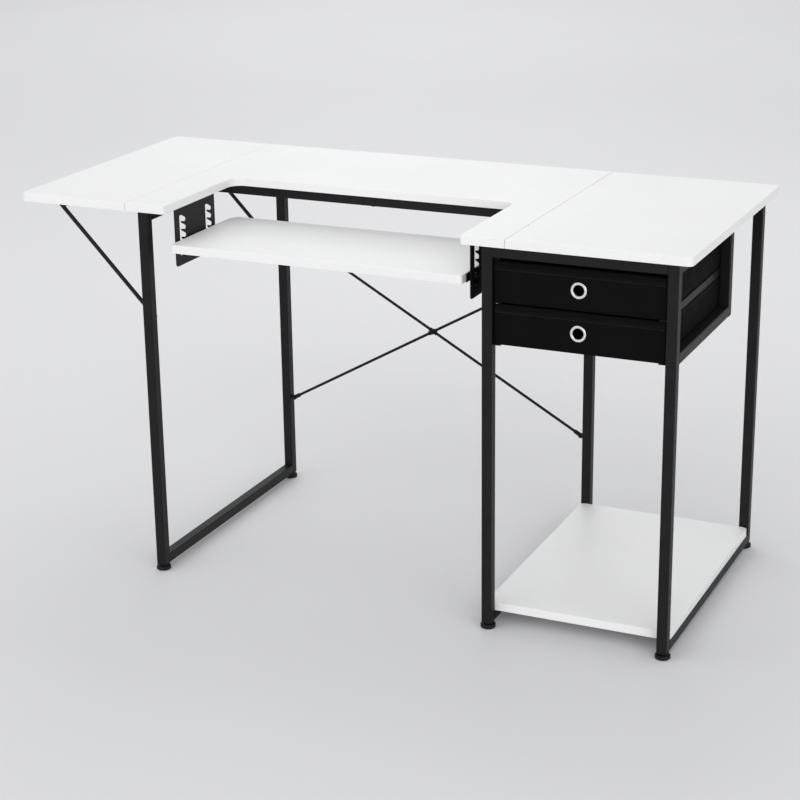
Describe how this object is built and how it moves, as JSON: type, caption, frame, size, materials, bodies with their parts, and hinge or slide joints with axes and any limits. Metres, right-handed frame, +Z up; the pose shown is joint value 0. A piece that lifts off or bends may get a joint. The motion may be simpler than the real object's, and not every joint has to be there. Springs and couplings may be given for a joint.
{
  "type": "folding sewing table",
  "caption": "Sewing and cutting table with a drop leaf on struts, a notched top over a height-adjustable machine platform, fabric drawers and a low shelf on square-tube frames.",
  "frame": {"origin": "on the floor under the middle of the table's outline", "axes": "+X to the drawer side, +Y to the back, +Z up"},
  "size_m": [1.357, 0.597, 0.76],
  "materials": {
    "white_laminate": "white melamine faced particle board",
    "black_coat": "fine satin black powder coat",
    "black_fabric": "matte black non-woven fabric",
    "covered_board": "hardboard covered in black fabric",
    "ring_nickel": "satin nickel eyelet",
    "black_plastic": "matte black moulded plastic",
    "zinc_steel": "zinc plated"
  },
  "bodies": {
    "frame": {"bottom_shelf": "white_laminate", "brace_tabs": "black_coat", "falling_brace": "black_coat", "frame_bolts": "black_coat", "frame_screws": "black_coat", "hinge_fixed_plates": "zinc_steel", "hinge_pins": "zinc_steel", "inner_bottom_rail": "black_coat", "inner_cage_post": "black_coat", "inner_cage_rail": "black_coat", "inner_front_leg": "black_coat", "inner_rear_leg": "black_coat", "inner_top_rail": "black_coat", "left_bottom_rail": "black_coat", "left_front_leg": "black_coat", "left_height_plate": "black_coat", "left_rear_leg": "black_coat", "left_top_rail": "black_coat", "leg_plugs": "black_plastic", "lower_inner_runner": "black_coat", "lower_right_runner": "black_coat", "main_top": "white_laminate", "mid_cross_rail": "black_coat", "right_bottom_rail": "black_coat", "right_cage_post": "black_coat", "right_cage_rail": "black_coat", "right_front_leg": "black_coat", "right_height_plate": "black_coat", "right_rear_leg": "black_coat", "right_top": "white_laminate", "right_top_rail": "black_coat", "rising_brace": "black_coat", "strut_pivots": "black_coat", "unit_front_rail": "black_coat", "unit_rear_rail": "black_coat", "upper_inner_runner": "black_coat", "upper_right_runner": "black_coat"},
    "leaf": {"left_leaf": "white_laminate", "hinge_moving_plates": "zinc_steel", "leaf_clips": "black_plastic", "leaf_screws": "black_coat"},
    "front_strut": {"front_strut": "black_coat"},
    "rear_strut": {"rear_strut": "black_coat"},
    "platform": {"platform_board": "white_laminate", "platform_left_rail": "black_coat", "platform_right_rail": "black_coat", "platform_studs": "black_coat", "platform_screws": "black_coat"},
    "upper_drawer": {"upper_drawer_box": "black_fabric", "upper_drawer_base": "covered_board", "upper_drawer_ring": "ring_nickel"},
    "lower_drawer": {"lower_drawer_box": "black_fabric", "lower_drawer_base": "covered_board", "lower_drawer_ring": "ring_nickel"},
    "left_front_foot": {"left_front_foot": "black_plastic"},
    "left_rear_foot": {"left_rear_foot": "black_plastic"},
    "inner_front_foot": {"inner_front_foot": "black_plastic"},
    "inner_rear_foot": {"inner_rear_foot": "black_plastic"},
    "right_front_foot": {"right_front_foot": "black_plastic"},
    "right_rear_foot": {"right_rear_foot": "black_plastic"}
  },
  "joints": [
    {"name": "leaf_fold", "type": "hinge", "parent": "frame", "child": "leaf", "pos_m": [-0.442, 0, 0.7407], "axis": [0, -1, 0], "range_deg": [0, 90]},
    {"name": "front_strut_swing", "type": "hinge", "parent": "frame", "child": "front_strut", "pos_m": [-0.4085, -0.266, 0.529], "axis": [0, -1, 0], "range_deg": [0, 136.14]},
    {"name": "rear_strut_swing", "type": "hinge", "parent": "frame", "child": "rear_strut", "pos_m": [-0.4085, 0.264, 0.529], "axis": [0, -1, 0], "range_deg": [0, 136.14]},
    {"name": "platform_lift", "type": "slide", "parent": "frame", "child": "platform", "axis": [0, 0, 1], "range_m": [-0.021, 0.052]},
    {"name": "upper_drawer_slide", "type": "slide", "parent": "frame", "child": "upper_drawer", "axis": [0, -1, 0], "range_m": [0, 0.23]},
    {"name": "lower_drawer_slide", "type": "slide", "parent": "frame", "child": "lower_drawer", "axis": [0, -1, 0], "range_m": [0, 0.23]},
    {"name": "left_front_foot_thread", "type": "slide", "parent": "frame", "child": "left_front_foot", "axis": [0, 0, -1], "range_m": [0, 0.01]},
    {"name": "left_rear_foot_thread", "type": "slide", "parent": "frame", "child": "left_rear_foot", "axis": [0, 0, -1], "range_m": [0, 0.01]},
    {"name": "inner_front_foot_thread", "type": "slide", "parent": "frame", "child": "inner_front_foot", "axis": [0, 0, -1], "range_m": [0, 0.01]},
    {"name": "inner_rear_foot_thread", "type": "slide", "parent": "frame", "child": "inner_rear_foot", "axis": [0, 0, -1], "range_m": [0, 0.01]},
    {"name": "right_front_foot_thread", "type": "slide", "parent": "frame", "child": "right_front_foot", "axis": [0, 0, -1], "range_m": [0, 0.01]},
    {"name": "right_rear_foot_thread", "type": "slide", "parent": "frame", "child": "right_rear_foot", "axis": [0, 0, -1], "range_m": [0, 0.01]}
  ],
  "couplings": [
    {"joint": "front_strut_swing", "follows": "leaf_fold", "ratio": 1.5125},
    {"joint": "rear_strut_swing", "follows": "leaf_fold", "ratio": 1.5125}
  ]
}
